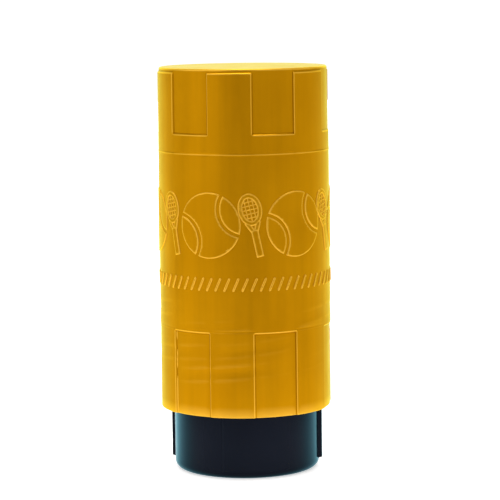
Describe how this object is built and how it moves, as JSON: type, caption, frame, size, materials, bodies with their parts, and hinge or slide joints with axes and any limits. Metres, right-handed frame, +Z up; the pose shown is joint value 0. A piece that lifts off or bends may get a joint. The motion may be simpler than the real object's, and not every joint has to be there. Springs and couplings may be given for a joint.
{
  "type": "tennis ball can",
  "caption": "Upright screw-down pressure can for tennis balls: a tall cap screws down over an open-topped container and seals on rubber rings.",
  "frame": {"origin": "centre of the container's foot ring, on the surface the can stands on", "axes": "+Z up along the can's own axis, -Y towards the side shown to the front, +X to its right; cap screwed fully down"},
  "size_m": [0.0922, 0.0924, 0.2175],
  "materials": {
    "cap_plastic": "satin gloss, golden yellow, moulded",
    "container_plastic": "gloss, blue-black, moulded",
    "seal_rubber": "smooth black rubber with a thin film of grease"
  },
  "bodies": {
    "container": {"inner_container": "container_plastic"},
    "seals": {"seal_ring_upper": "seal_rubber", "seal_ring_lower": "seal_rubber"},
    "cap": {"outer_cap": "cap_plastic"}
  },
  "joints": [
    {"name": "cap_turn", "type": "hinge", "parent": "container", "child": "seals", "pos_m": [0, 0, 0.2057], "axis": [0, 0, 1], "range_deg": [0, 3960]},
    {"name": "cap_lift", "type": "slide", "parent": "seals", "child": "cap", "axis": [0, 0, 1], "range_m": [0, 0.264]}
  ],
  "couplings": [
    {"joint": "cap_lift", "follows": "cap_turn", "m_per_rad": 0.0038197}
  ]
}
